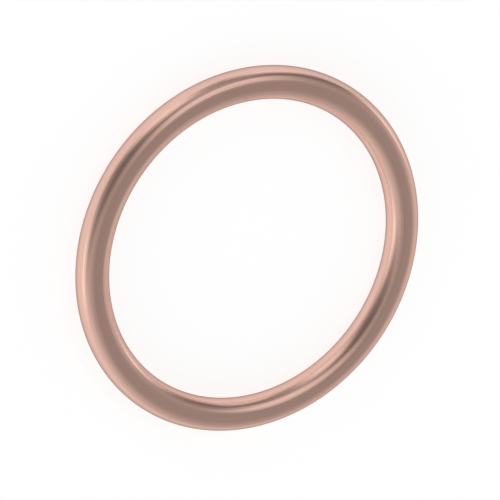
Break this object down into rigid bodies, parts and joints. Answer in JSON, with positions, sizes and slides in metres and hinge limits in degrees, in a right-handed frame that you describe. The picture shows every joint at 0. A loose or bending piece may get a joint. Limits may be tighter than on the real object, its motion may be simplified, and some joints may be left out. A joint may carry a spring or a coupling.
{
  "type": "sealing ring",
  "caption": "Copper sealing ring of flat-oval section, with full-round walls and a narrow flat sealing face above and below, crushed under a screw plug or fitting.",
  "frame": {"origin": "on the ring's axis, in the plane of the lower sealing face", "axes": "+Z along the ring's axis, from the lower sealing face to the upper one; X and Y lie in the lower face's plane and are alike, because the ring is a body of revolution"},
  "size_m": [0.034, 0.034, 0.0025],
  "materials": {
    "copper": "satin"
  },
  "bodies": {
    "root": {"sealing_ring": "copper"}
  },
  "joints": []
}
